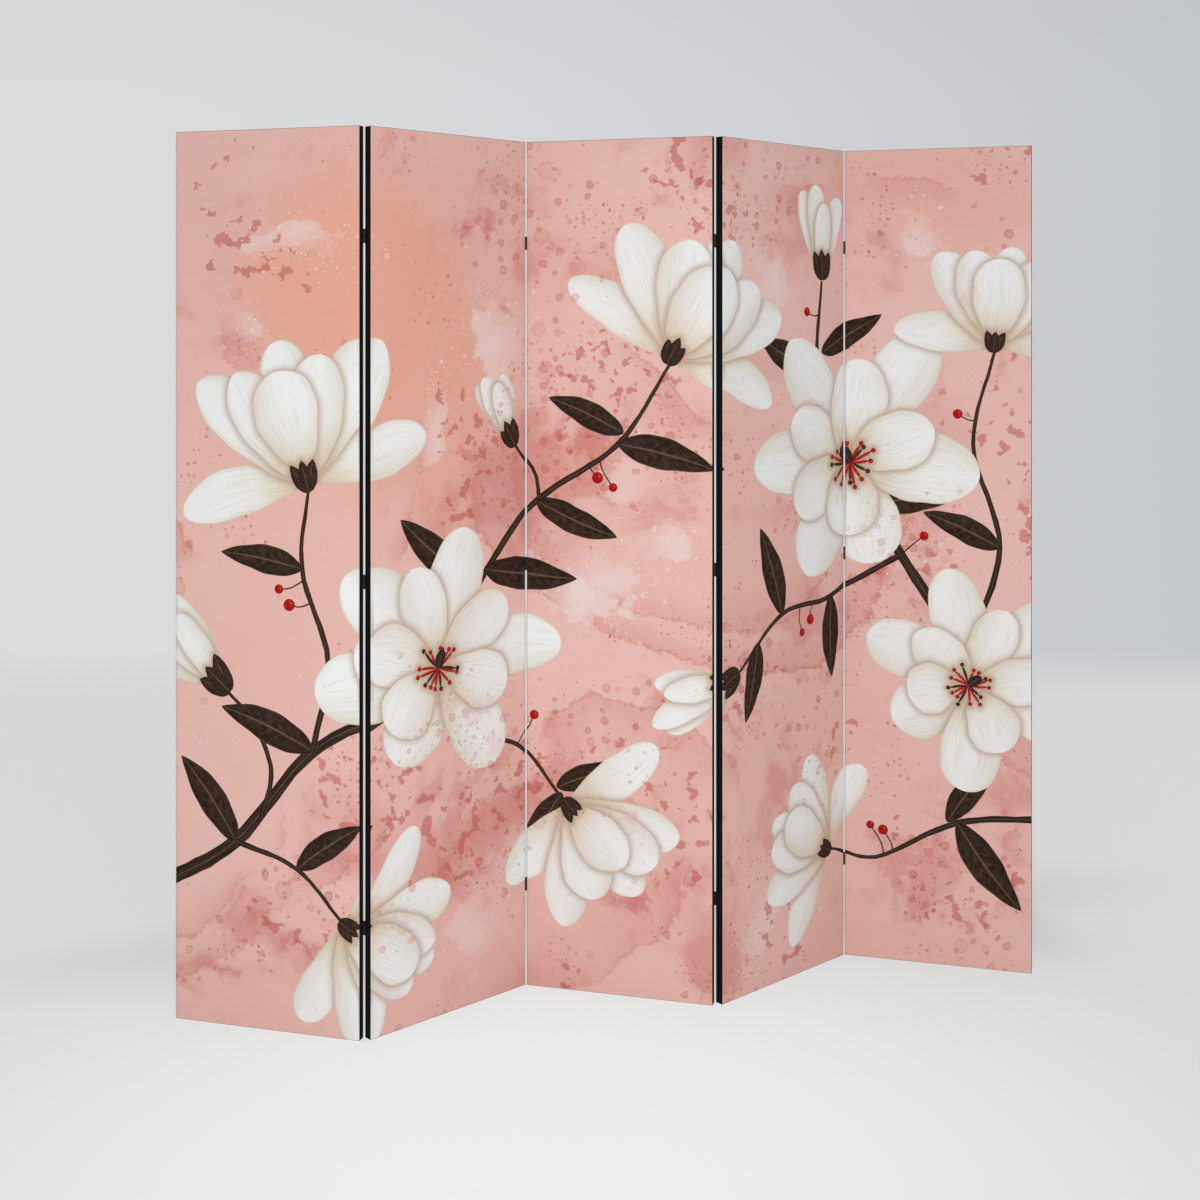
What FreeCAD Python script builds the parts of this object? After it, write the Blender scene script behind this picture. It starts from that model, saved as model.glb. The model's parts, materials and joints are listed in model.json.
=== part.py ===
import FreeCAD, Part
import math
import os

from FreeCAD import Placement, Rotation, Vector

# A folding screen of five panels that stands in a zigzag, in millimetres and degrees.
# The origin is on the floor under the middle of the middle panel. X runs along the screen
# to the right, Y runs away from its front and Z is up.
# A panel's own coordinates start at its left side face, its front face and its base.

# The screen
panel_count = 5
panel_width = 360.0
panel_height = 1600.0
fold_at_rest = 60.0

# The pine frame inside a panel
frame_depth = 16.0
stile_width = 38.0
rail_width = 38.0
tenon_length = 22.0
tenon_thickness = 6.0
tenon_shoulder = 7.0
joint_clearance = 0.1
mortise_spare_depth = 0.5

# A canvas on each face, its edges turned onto the frame's sides, and the tape over them
canvas_thickness = 0.4
turned_edge_spacing = 1.8
tape_thickness = 0.4

# Butt hinges, three to a fold
hinge_inset = 192.0
leaf_height = 25.0
leaf_depth = 13.0
leaf_thickness = 0.7
leaf_corner_radius = 1.5
leaf_spacing = 0.2
middle_knuckle_height = 8.0
knuckle_wall = 0.65
knuckle_end_gap = 0.3
knuckle_relief = 0.25
barrel_standoff = 0.1
pin_radius = 0.6
pin_clearance = 0.05
pin_head_radius = 1.0
pin_head_height = 0.4
pin_crown_radius = 0.6

# Countersunk wood screws, two to a leaf
screw_radius = 1.1
screw_length = 12.0
screw_point_length = 2.5
screw_head_radius = 2.1
screw_head_sink = 0.05
screw_end_margin = 5.0
screw_clearance = 0.05
pilot_spare_depth = 0.5
recess_length = 2.2
recess_width = 0.5
recess_depth = 0.5

# How far a cutting shape runs past the face that it opens
cut_overrun = 1.0

# Worked out from the sizes above
full_turn = 360.0
half_turn = full_turn / 2
edge_cover = canvas_thickness + tape_thickness
panel_depth = frame_depth + 2 * canvas_thickness
turned_edge_depth = (panel_depth - turned_edge_spacing) / 2
frame_left = edge_cover
frame_right = panel_width - edge_cover
frame_base = edge_cover
frame_top = panel_height - edge_cover
frame_front = canvas_thickness
frame_back = panel_depth - canvas_thickness
opening_left = frame_left + stile_width
opening_right = frame_right - stile_width
knuckle_radius = pin_radius + pin_clearance + knuckle_wall
relief_radius = knuckle_radius + knuckle_relief
axis_offset = knuckle_radius + barrel_standoff
flat_gap = 2 * leaf_thickness + leaf_spacing
screw_head_height = screw_head_radius - screw_radius
rail_heights = {
    "rail_bottom": frame_base,
    "rail_middle": (panel_height - rail_width) / 2,
    "rail_top": frame_top - rail_width,
}
hinge_heights = (hinge_inset, panel_height / 2, panel_height - hinge_inset)
screw_heights = (screw_end_margin - leaf_height / 2, leaf_height / 2 - screw_end_margin)
middle_knuckle = (-middle_knuckle_height / 2, middle_knuckle_height / 2)
lower_knuckle = (-leaf_height / 2, -middle_knuckle_height / 2 - knuckle_end_gap)
upper_knuckle = (middle_knuckle_height / 2 + knuckle_end_gap, leaf_height / 2)

up = Vector(0, 0, 1)


def block(x_span, y_span, z_span):
    spans = (x_span, y_span, z_span)
    low_corner = Vector(*[min(span) for span in spans])
    sides = [max(span) - min(span) for span in spans]
    return Part.makeBox(*sides, low_corner)


def joined(pieces):
    return pieces[0].multiFuse(pieces[1:]).removeSplitter()


def is_behind(fold):
    # Odd folds point to the front, so their hinges are at the back faces.
    return fold % 2 == 1


# The frame

def tenon(stile_face, outward, rail_low, clearance, spare_depth):
    # A tenon that runs outward from a stile's inner face, or with clearance its mortise.
    middle = panel_depth / 2
    half = tenon_thickness / 2 + clearance
    return block(
        (stile_face, stile_face + outward * (tenon_length + spare_depth)),
        (middle - half, middle + half),
        (rail_low + tenon_shoulder - clearance, rail_low + rail_width - tenon_shoulder + clearance),
    )


def rail(rail_low):
    body = block((opening_left, opening_right), (frame_front, frame_back), (rail_low, rail_low + rail_width))
    left_tenon = tenon(opening_left, -1, rail_low, 0, 0)
    right_tenon = tenon(opening_right, 1, rail_low, 0, 0)
    return joined([body, left_tenon, right_tenon])


def stile(outer_face, inner_face, screw_holes):
    body = block((outer_face, inner_face), (frame_front, frame_back), (frame_base, frame_top))
    outward = math.copysign(1, outer_face - inner_face)
    mortises = [
        tenon(inner_face, outward, rail_low, joint_clearance, mortise_spare_depth)
        for rail_low in rail_heights.values()
    ]
    return body.cut(mortises + screw_holes)


# The canvases and the tape

def canvas(face, inner, screw_holes):
    # A sheet over one face of the frame with its edges turned round the sides, like a shallow tray.
    y_rim = face + math.copysign(turned_edge_depth, inner - face)
    tray = block(
        (tape_thickness, panel_width - tape_thickness),
        (face, y_rim),
        (tape_thickness, panel_height - tape_thickness),
    )
    hollow = block((frame_left, frame_right), (inner, y_rim), (frame_base, frame_top))
    return tray.cut([hollow] + screw_holes)


def edge_tape(screw_holes):
    depth = (0, panel_depth)
    height = (0, panel_height)
    between_sides = (tape_thickness, panel_width - tape_thickness)
    left = block((0, tape_thickness), depth, height).cut(screw_holes)
    right = block((panel_width - tape_thickness, panel_width), depth, height).cut(screw_holes)
    bottom = block(between_sides, depth, (0, tape_thickness))
    top = block(between_sides, depth, (panel_height - tape_thickness, panel_height))
    return [left, right, bottom, top]


# The hinges and their screws, about a hinge axis at the origin.
# side is 1 on the left panel of a fold and -1 on the right one, and face is 1 where the hinge is behind.

def screw_form(clearance, head_rise, spare_depth):
    # Turned about X, with the head's rim at the origin and the point towards -X.
    # The form of a hole is wider by the clearance and runs out past the head.
    rim = screw_head_radius + clearance
    shank = screw_radius + clearance
    profile = [Vector(head_rise, 0, 0)]
    if head_rise > 0:
        profile.append(Vector(head_rise, rim, 0))
    profile += [
        Vector(0, rim, 0),
        Vector(-screw_head_height, shank, 0),
        Vector(screw_point_length - screw_length, shank, 0),
        Vector(-screw_length - spare_depth, 0, 0),
    ]
    outline = Part.makePolygon(profile + profile[:1])
    return Part.Face(outline).revolve(Vector(0, 0, 0), Vector(1, 0, 0), full_turn)


def screw():
    long_half = recess_length / 2
    narrow_half = recess_width / 2
    depth = (-recess_depth, cut_overrun)
    upright_slot = block(depth, (-narrow_half, narrow_half), (-long_half, long_half))
    level_slot = block(depth, (-long_half, long_half), (-narrow_half, narrow_half))
    return screw_form(0, 0, 0).cut([upright_slot, level_slot])


def on_leaf(form, side, face, height):
    placed = form.copy()
    if side < 0:
        placed.rotate(Vector(0, 0, 0), up, half_turn)
    outer_face = side * (leaf_thickness - flat_gap / 2)
    across = outer_face - side * screw_head_sink
    placed.translate(Vector(across, -face * (axis_offset + leaf_depth / 2), height))
    return placed


def leaf(side, face, knuckles):
    inner_x = -side * flat_gap / 2
    thickness = (inner_x, inner_x + side * leaf_thickness)
    deep_edge = -face * (axis_offset + leaf_depth)
    plate = block(thickness, (deep_edge, -face * relief_radius), (-leaf_height / 2, leaf_height / 2))
    corners = [
        edge for edge in plate.Edges
        if all(abs(vertex.Y - deep_edge) < leaf_thickness / 2 for vertex in edge.Vertexes)
        and edge.BoundBox.ZLength < leaf_thickness / 2
    ]
    pieces = [plate.makeFillet(leaf_corner_radius, corners)]
    for low, high in knuckles:
        pieces.append(block(thickness, (-face * relief_radius, 0), (low, high)))
        pieces.append(Part.makeCylinder(knuckle_radius, high - low, Vector(0, 0, low)))
    bore = Part.makeCylinder(
        pin_radius + pin_clearance,
        leaf_height + 2 * cut_overrun,
        Vector(0, 0, -leaf_height / 2 - cut_overrun),
    )
    holes = [on_leaf(screw_hole, side, face, height) for height in screw_heights]
    return joined(pieces).cut([bore] + holes)


def pin():
    # The shank runs just past the outer knuckles, and a crowned head stops it at each end.
    half = leaf_height / 2 + pin_clearance
    shank = Part.makeCylinder(pin_radius, 2 * half, Vector(0, 0, -half))
    top_head = Part.makeCone(pin_head_radius, pin_crown_radius, pin_head_height, Vector(0, 0, half))
    base_head = Part.makeCone(pin_head_radius, pin_crown_radius, pin_head_height, Vector(0, 0, -half), -up)
    return joined([shank, top_head, base_head])


screw_hole = screw_form(screw_clearance, cut_overrun, pilot_spare_depth)


def axis_in_panel(fold, panel):
    # The fold's axis, in the coordinates of the panel to its left or right.
    x = panel_width + flat_gap / 2 if panel == fold else -flat_gap / 2
    y = panel_depth + axis_offset if is_behind(fold) else -axis_offset
    return Vector(x, y, 0)


def along_fold(form, fold, panel):
    # A copy of the form at each hinge of the fold, in the panel's coordinates.
    copies = []
    for height in hinge_heights:
        placed = form.copy()
        placed.translate(axis_in_panel(fold, panel) + up * height)
        copies.append(placed)
    return copies


def screws_in_panel(form, panel):
    placed = {"left": [], "right": []}
    for edge, fold, side in (("left", panel - 1, -1), ("right", panel, 1)):
        if 1 <= fold < panel_count:
            face = 1 if is_behind(fold) else -1
            for height in screw_heights:
                placed[edge] += along_fold(on_leaf(form, side, face, height), fold, panel)
    return placed


# The panels and where they stand

def panel_nodes(panel):
    holes = screws_in_panel(screw_hole, panel)
    screws = screws_in_panel(screw(), panel)
    all_holes = holes["left"] + holes["right"]
    nodes = {
        "stile_left": [stile(frame_left, opening_left, holes["left"])],
        "stile_right": [stile(frame_right, opening_right, holes["right"])],
        "canvas_front": [canvas(0, frame_front, all_holes)],
        "canvas_back": [canvas(panel_depth, frame_back, all_holes)],
        "edge_tape": edge_tape(all_holes),
        "screws": screws["left"] + screws["right"],
    }
    for name, rail_low in rail_heights.items():
        nodes[name] = [rail(rail_low)]
    return {f"panel_{panel}_{name}": pieces for name, pieces in nodes.items()}


def fold_nodes(fold, panel):
    # The hinge pieces of the fold that the panel carries: the pins go with its left panel.
    face = 1 if is_behind(fold) else -1
    if panel == fold:
        left_leaf = leaf(1, face, (lower_knuckle, upper_knuckle))
        return {
            f"fold_{fold}_left_leaves": along_fold(left_leaf, fold, panel),
            f"fold_{fold}_pins": along_fold(pin(), fold, panel),
        }
    right_leaf = leaf(-1, face, (middle_knuckle,))
    return {f"fold_{fold}_right_leaves": along_fold(right_leaf, fold, panel)}


def turn_of(panel):
    turn = fold_at_rest / 2
    return Rotation(up, -turn if panel % 2 == 1 else turn)


def place_at(panel, own_point, point):
    # Where the panel stands when a point of it is at a given point of the screen.
    return Placement(point - turn_of(panel).multVec(own_point), turn_of(panel))


def panel_places():
    middle = (panel_count + 1) // 2
    places = {middle: place_at(middle, Vector(panel_width / 2, panel_depth / 2, 0), Vector(0, 0, 0))}
    for panel in range(middle + 1, panel_count + 1):
        fold = panel - 1
        axis = places[fold].multVec(axis_in_panel(fold, fold))
        places[panel] = place_at(panel, axis_in_panel(fold, panel), axis)
    for panel in range(middle - 1, 0, -1):
        axis = places[panel + 1].multVec(axis_in_panel(panel, panel + 1))
        places[panel] = place_at(panel, axis_in_panel(panel, panel), axis)
    return places


def fold_axes():
    places = panel_places()
    return {fold: places[fold].multVec(axis_in_panel(fold, fold)) for fold in range(1, panel_count)}


def screen_bodies():
    # Each panel's nodes, standing at rest.
    bodies = {}
    for panel, place in panel_places().items():
        nodes = panel_nodes(panel)
        for fold in (panel - 1, panel):
            if 1 <= fold < panel_count:
                nodes.update(fold_nodes(fold, panel))
        for pieces in nodes.values():
            for piece in pieces:
                piece.Placement = place.multiply(piece.Placement)
        bodies[f"panel_{panel}"] = nodes
    return bodies


def write_parts(bodies):
    os.makedirs("parts", exist_ok=True)
    for nodes in bodies.values():
        for name, pieces in nodes.items():
            node = pieces[0] if len(pieces) == 1 else Part.makeCompound(pieces)
            node.exportStep(os.path.join("parts", f"{name}.step"))


screen = screen_bodies()
write_parts(screen)
for fold, axis in fold_axes().items():
    print(f"fold_{fold} axis at x {axis.x:.3f}, y {axis.y:.3f}")
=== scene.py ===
import json
import math
import random

import bmesh
import bpy
import numpy as np
from mathutils import Matrix, Vector
from mathutils.geometry import delaunay_2d_cdt


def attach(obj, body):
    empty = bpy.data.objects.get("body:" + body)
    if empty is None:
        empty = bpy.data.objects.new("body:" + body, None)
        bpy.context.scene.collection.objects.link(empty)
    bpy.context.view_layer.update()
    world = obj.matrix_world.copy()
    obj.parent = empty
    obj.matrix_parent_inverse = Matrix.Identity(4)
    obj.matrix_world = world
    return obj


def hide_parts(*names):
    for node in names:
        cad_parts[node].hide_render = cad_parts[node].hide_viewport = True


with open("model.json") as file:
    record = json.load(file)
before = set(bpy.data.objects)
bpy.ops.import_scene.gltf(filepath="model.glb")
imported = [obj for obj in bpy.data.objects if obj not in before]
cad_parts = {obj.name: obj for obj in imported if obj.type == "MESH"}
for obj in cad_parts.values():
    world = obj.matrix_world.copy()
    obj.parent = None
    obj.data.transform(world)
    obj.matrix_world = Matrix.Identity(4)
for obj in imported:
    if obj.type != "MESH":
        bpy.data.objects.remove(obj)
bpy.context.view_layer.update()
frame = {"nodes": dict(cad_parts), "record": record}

record = frame["record"]

# Lengths are in metres. The print is drawn flat, as one picture over all the panels unfolded:
# x runs across from the left edge of panel 1, and z runs up from the floor.
panel = dict(count=5, width=0.36, height=1.6, depth=0.0168, turn=math.radians(30))
hinge = dict(sideReach=0.0008, faceReach=0.0014)    # from a panel's corner to the fold's axis
panelNumbers = range(1, panel["count"] + 1)
smoothAngle = math.radians(40)    # an edge that turns by more stays crisp
tiny = 1e-12    # keeps a division away from zero


def panelPlace(number):
    spin = Matrix.Rotation(-panel["turn"] if number % 2 else panel["turn"], 4, "Z")
    fold = max(1, number - 1)
    axis = next(j["pos_m"] for j in record["behaviour"]["joints"] if j["name"] == f"fold_{fold}")
    across = panel["width"] + hinge["sideReach"] if fold == number else -hinge["sideReach"]
    deep = panel["depth"] + hinge["faceReach"] if fold % 2 else -hinge["faceReach"]
    return Matrix.Translation(Vector((axis[0], axis[1], 0)) - spin @ Vector((across, deep, 0))) @ spin


def selectOnly(*pieces):
    bpy.ops.object.select_all(action="DESELECT")
    for piece in pieces:
        piece.select_set(True)
        bpy.context.view_layer.objects.active = piece


# Shader helpers

def srgb(red, green, blue):
    def linear(value):
        share = value / 255
        return share / 12.92 if share <= 0.04045 else ((share + 0.055) / 1.055) ** 2.4
    return (linear(red), linear(green), linear(blue), 1)


class Signal:    # a shader socket that takes part in Python sums
    def __init__(self, finish, socket):
        self.finish, self.socket = finish, socket

    def __add__(self, other):
        return self.finish.math("ADD", self, other)

    def __mul__(self, other):
        return self.finish.math("MULTIPLY", self, other)

    __radd__, __rmul__ = __add__, __mul__

    def __sub__(self, other):
        return self.finish.math("SUBTRACT", self, other)

    def __rsub__(self, other):
        return self.finish.math("SUBTRACT", other, self)

    def __truediv__(self, other):
        return self.finish.math("DIVIDE", self, other)

    def __pow__(self, other):
        return self.finish.math("POWER", self, other)

    def __abs__(self):
        return self.finish.math("ABSOLUTE", self)


class Finish:    # one material, or the world, and its nodes
    def __init__(self, name, world=None):
        self.made = world or bpy.data.materials.new(name)
        self.made.use_nodes = True
        self.tree = self.made.node_tree
        self.tree.nodes.clear()
        self.output = self.tree.nodes.new("ShaderNodeOutputWorld" if world else "ShaderNodeOutputMaterial")

    def node(self, kind, settings=None, sockets=None, result=0):
        made = self.tree.nodes.new(kind)
        for name, value in (settings or {}).items():
            setattr(made, name, value)
        for name, value in (sockets or {}).items():
            if isinstance(value, Signal):
                self.tree.links.new(value.socket, made.inputs[name])
            else:
                made.inputs[name].default_value = value
        return Signal(self, made.outputs[result])

    def also(self, signal, result):    # another output of the same node
        return Signal(self, signal.socket.node.outputs[result])

    def math(self, operation, first, second=0.0):
        return self.node("ShaderNodeMath", dict(operation=operation), {0: first, 1: second})

    def vector(self, operation, *inputs, result=0):
        return self.node("ShaderNodeVectorMath", dict(operation=operation), dict(enumerate(inputs)), result)

    def mix(self, amount, below, above, blend="MIX"):    # sockets 6, 7 and 2 are the node's colours
        settings = dict(data_type="RGBA", blend_type=blend)
        return self.node("ShaderNodeMix", settings, {0: amount, 6: below, 7: above}, 2)

    def step(self, value, start, end, low=0.0, high=1.0):
        settings = dict(interpolation_type="SMOOTHSTEP")
        return self.node("ShaderNodeMapRange", settings, {0: value, 1: start, 2: end, 3: low, 4: high})

    def axes(self, vector, names):    # one signal for each letter of names
        return [self.node("ShaderNodeSeparateXYZ", None, {0: vector}, name) for name in names]

    def uvPlace(self, name):
        return self.node("ShaderNodeUVMap", dict(uv_map=name))

    def objectPlace(self):
        return self.node("ShaderNodeTexCoord", None, None, "Object")

    def stretch(self, place, scale, turn=0.0):
        sockets = {"Vector": place, "Scale": scale, "Rotation": (0, 0, turn)}
        return self.node("ShaderNodeMapping", None, sockets)

    def noise(self, place, scale, detail, roughness, flat=True, result="Fac"):
        settings = dict(noise_dimensions="2D" if flat else "3D")
        sockets = {"Vector": place, "Scale": scale, "Detail": detail, "Roughness": roughness}
        return self.node("ShaderNodeTexNoise", settings, sockets, result)

    def warp(self, place, scale, reach, detail=3.0, roughness=0.55):    # moves a flat place by up to reach
        drift = self.noise(place, scale, detail, roughness, result="Color")
        centred = self.vector("SUBTRACT", drift, (0.5, 0.5, 0.5))
        return self.vector("MULTIPLY_ADD", centred, (2 * reach, 2 * reach, 0), place)

    def offset(self, place, middle, reach):    # from a patch's middle, counted in its reach
        shift = (-middle[0] / reach[0], -middle[1] / reach[1], 0)
        return self.vector("MULTIPLY_ADD", place, (1 / reach[0], 1 / reach[1], 0), shift)

    def away(self, place, middle, reach):    # 0 at a patch's middle and 1 at its rim
        return self.vector("LENGTH", self.offset(place, middle, reach), result="Value")

    def seen(self):    # 1 where the camera looks, directly or in a reflection
        rays = self.node("ShaderNodeLightPath", None, None, "Is Camera Ray")
        return rays + self.also(rays, "Is Glossy Ray") + self.also(rays, "Is Transmission Ray")

    def bump(self, strength, distance, height):
        sockets = {"Strength": strength, "Distance": distance, "Height": height}
        return self.node("ShaderNodeBump", None, sockets)

    def blend(self, amount, below, above):
        return self.node("ShaderNodeMixShader", None, {0: amount, 1: below, 2: above})

    def show(self, shader):
        self.tree.links.new(shader.socket, self.output.inputs["Surface"])
        return self.made

    def surface(self, sockets):
        return self.show(self.node("ShaderNodeBsdfPrincipled", None, sockets))


# The motifs of the print, as flat outlines

drawing = dict(
    boughSteps=8,    # from one knot of a bough to the next
    searchRounds=8,    # to find a point's place along a bent petal
    leastHalf=0.00001,    # half of a petal's width at its ends
    ripples=(8, 21),    # of its edges, in radians over its length
    spacing=0.0065,    # between the points that the motifs are filled with
    shadeReach=0.014,    # how far a petal's shade falls on those below it
)


class Petal:    # s runs from base to tip, t from edge to edge as -1 to 1
    def __init__(self, base, heading, length, width, bend=0.0, widest=0.62, tip=0.5,
                 tone="petal", wave=0.035, seed=0, steps=32):
        pick = random.Random(seed)
        angle = math.radians(heading)
        self.base = np.array(base, float)
        self.ahead = np.array((math.cos(angle), math.sin(angle)))
        self.aside = np.array((-math.sin(angle), math.cos(angle)))
        self.length, self.width, self.bend = length, width, bend * length
        self.widest, self.tip, self.rise = widest, tip, widest * tip / (1 - widest)
        self.tone, self.wave, self.tint = tone, wave, pick.random()
        self.phases = [pick.uniform(0, 2 * math.pi) for _ in range(2)]
        shares = 0.5 - 0.5 * np.cos(np.linspace(0, math.pi, steps + 1))    # closer together at the ends
        right = self.point(shares, -1.0)
        left = self.point(shares[1:-1][::-1], 1.0)
        self.outline = np.vstack((right, left))

    def half(self, s, t):    # half of the width at s, on the side of t
        s = np.clip(s, 0, 1)
        peak = self.widest ** self.rise * (1 - self.widest) ** self.tip
        shape = s ** self.rise * (1 - s) ** self.tip / peak
        phase = np.where(np.asarray(t) > 0, self.phases[0], self.phases[1])
        slow, quick = drawing["ripples"]
        ripple = np.sin(slow * s + phase) + 0.5 * np.sin(quick * s + 2 * phase)
        return np.maximum(self.width / 2 * shape * (1 + self.wave * ripple), drawing["leastHalf"])

    def middle(self, s):
        place = self.base + np.outer(s * self.length, self.ahead) + np.outer(self.bend * s ** 2, self.aside)
        along = self.ahead * self.length + np.outer(2 * self.bend * s, self.aside)
        return place, along / np.linalg.norm(along, axis=1)[:, None]

    def point(self, s, t):
        place, along = self.middle(s)
        across = np.stack((-along[:, 1], along[:, 0]), 1)
        return place + across * (self.half(s, t) * t)[:, None]

    def shares(self, points):    # the s and t of points, from the nearest place on the middle line
        rel = points - self.base
        forward, side = rel @ self.ahead, rel @ self.aside
        s = forward / self.length
        for _ in range(drawing["searchRounds"]):
            bow = self.bend * s ** 2 - side
            error = self.length * (s * self.length - forward) + 2 * self.bend * s * bow
            slope = self.length ** 2 + 2 * self.bend * (2 * self.bend * s ** 2 + bow)
            s = s - error / np.where(abs(slope) < tiny, tiny, slope)
        s = np.clip(s, 0, 1)
        place, along = self.middle(s)
        gap = points - place
        away = along[:, 0] * gap[:, 1] - along[:, 1] * gap[:, 0]
        return s, np.clip(away / self.half(s, away), -1, 1)


class Bough:    # a branch along a smooth line, s along it and t from edge to edge
    def __init__(self, knots, tone="ink", knobs=0.16, seed=0):
        pick = random.Random(seed)
        self.tone, self.tint = tone, pick.random()
        rows = np.array(knots, float)
        rows = np.vstack((2 * rows[0] - rows[1], rows, 2 * rows[-1] - rows[-2]))
        line = []
        for a, b, c, d in zip(rows, rows[1:], rows[2:], rows[3:]):
            for u in np.arange(drawing["boughSteps"]) / drawing["boughSteps"]:
                bent = 2 * a - 5 * b + 4 * c - d + u * (3 * (b - c) + d - a)
                line.append(b + 0.5 * u * (c - a + u * bent))
        line = np.array(line + [rows[-2]])
        self.line = line[:, :2]
        sides = [1 + knobs * np.array([pick.uniform(-1, 1) for _ in line]) for _ in range(2)]
        self.halves = line[:, 2]
        along = np.gradient(self.line, axis=0)
        along /= np.linalg.norm(along, axis=1)[:, None]
        across = np.stack((-along[:, 1], along[:, 0]), 1) * self.halves[:, None]
        right, left = self.line - across * sides[0][:, None], self.line + across * sides[1][:, None]
        self.outline = np.vstack((right, left[::-1]))

    def shares(self, points):
        start, run = self.line[:-1], np.diff(self.line, axis=0)
        length = np.linalg.norm(run, axis=1)
        rel = points[:, None] - start
        u = np.clip((rel * run).sum(2) / length ** 2, 0, 1)
        gap = rel - u[:, :, None] * run
        pick = (gap ** 2).sum(2).argmin(1)
        row = np.arange(len(points))
        u, gap = u[row, pick], gap[row, pick]
        away = (run[pick, 0] * gap[:, 1] - run[pick, 1] * gap[:, 0]) / length[pick]
        half = self.halves[:-1][pick] * (1 - u) + self.halves[1:][pick] * u
        reached = np.concatenate(((0,), np.cumsum(length)))
        return reached[pick] + u * length[pick], np.clip(away / half, -1, 1)


blossomViews = dict(    # each petal's offset from the heading, length, width and bend, from back to front
    open=[
        (4, 1.0, 0.46, 0.05), (172, 0.72, 0.50, -0.06), (58, 0.96, 0.45, 0.12), (-55, 0.98, 0.46, -0.12),
        (112, 0.86, 0.47, 0.14), (-116, 0.84, 0.48, -0.14), (28, 0.70, 0.40, 0.08), (-30, 0.68, 0.40, -0.1),
        (88, 0.60, 0.40, 0.14), (-86, 0.62, 0.40, -0.14), (150, 0.52, 0.42, 0.1),
    ],
    side=[
        (0, 0.94, 0.40, 0.02), (70, 0.90, 0.34, 0.26), (-72, 0.88, 0.34, -0.26), (34, 0.98, 0.40, 0.14),
        (-36, 0.98, 0.40, -0.14), (17, 0.84, 0.42, 0.05), (-19, 0.86, 0.42, -0.05), (-2, 0.74, 0.44, 0.02),
    ],
    bud=[(13, 0.92, 0.30, 0.05), (-13, 0.94, 0.30, -0.05), (0, 1.0, 0.34, 0.03), (-4, 0.78, 0.28, -0.08)],
)
# Their lengths are shares of a petal's, and their angles are in degrees.
petals = dict(scatter=5, sizes=(0.94, 1.06), bow=0.04, widest=(0.58, 0.68), tip=(0.46, 0.58))
stamens = dict(count=15, scatter=9, reach=(0.11, 0.17), bow=0.2, width=0.022, head=0.034, darkEvery=3)
pistil = dict(length=0.13, width=0.085)
cups = dict(side=0.20, bud=0.34, offsets=(24, -22, 1), setBack=0.05, sizes=(0.9, 1.1), widthShare=0.5)
leafWidth = 0.31
outlines = dict(    # what sets these apart from a petal
    stamen=dict(steps=6, seed=1), stamenHead=dict(widest=0.5, steps=6, seed=2),
    pistil=dict(tone="ink", widest=0.45, steps=8, seed=3),
    cup=dict(tone="ink", widest=0.4, tip=0.8, steps=10),
    leaf=dict(tone="ink", widest=0.42, tip=0.85, wave=0.05),
    berry=dict(tone="red", widest=0.5, wave=0.02, steps=12),
)


def heart(at, size, heading, pick):    # the stamens of an open blossom round its pistil
    scatter, bow = stamens["scatter"], stamens["bow"]
    made = []
    for number in range(stamens["count"]):
        turn = heading + number * 360 / stamens["count"] + pick.uniform(-scatter, scatter)
        reach = size * pick.uniform(*stamens["reach"])
        bend = pick.uniform(-bow, bow)
        tone = "red" if number % stamens["darkEvery"] else "ink"
        made.append(Petal(at, turn, reach, size * stamens["width"], bend, tone=tone, **outlines["stamen"]))
        end = made[-1].point(np.array([0.98]), 0.0)[0]    # the head overlaps the stamen's tip
        across = size * stamens["head"]
        made.append(Petal(end, turn, across, across, tone=tone, **outlines["stamenHead"]))
    return made + [Petal(at, heading, size * pistil["length"], size * pistil["width"], **outlines["pistil"])]


def cup(at, heading, length, pick):    # the dark leaves round a blossom's base
    made = []
    for offset in cups["offsets"]:
        reach = length * pick.uniform(*cups["sizes"])
        width = length * cups["widthShare"]
        made.append(Petal(at, heading + offset, reach, width, seed=pick.random(), **outlines["cup"]))
    return made


def blossom(at, size, heading, view, seed):
    pick = random.Random(seed)
    scatter, bow = petals["scatter"], petals["bow"]
    made = []
    for offset, length, width, bend in blossomViews[view]:
        turn = heading + offset + pick.uniform(-scatter, scatter)
        reach = size * length * pick.uniform(*petals["sizes"])
        across = size * width * pick.uniform(*petals["sizes"])
        made.append(Petal(
            at, turn, reach, across, bend + pick.uniform(-bow, bow), widest=pick.uniform(*petals["widest"]),
            tip=pick.uniform(*petals["tip"]), seed=pick.random(),
        ))
    if view == "open":
        return made + heart(at, size, heading, pick)
    base = np.array(at) - cups["setBack"] * size * made[0].ahead
    return made + cup(base, heading, size * cups[view], pick)


def leaf(at, length, heading, bend, seed):
    return Petal(at, heading, length, length * leafWidth, bend, seed=seed, **outlines["leaf"])


def berry(at, across, seed):
    return Petal(at, 90, across, across, seed=seed, **outlines["berry"])


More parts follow.
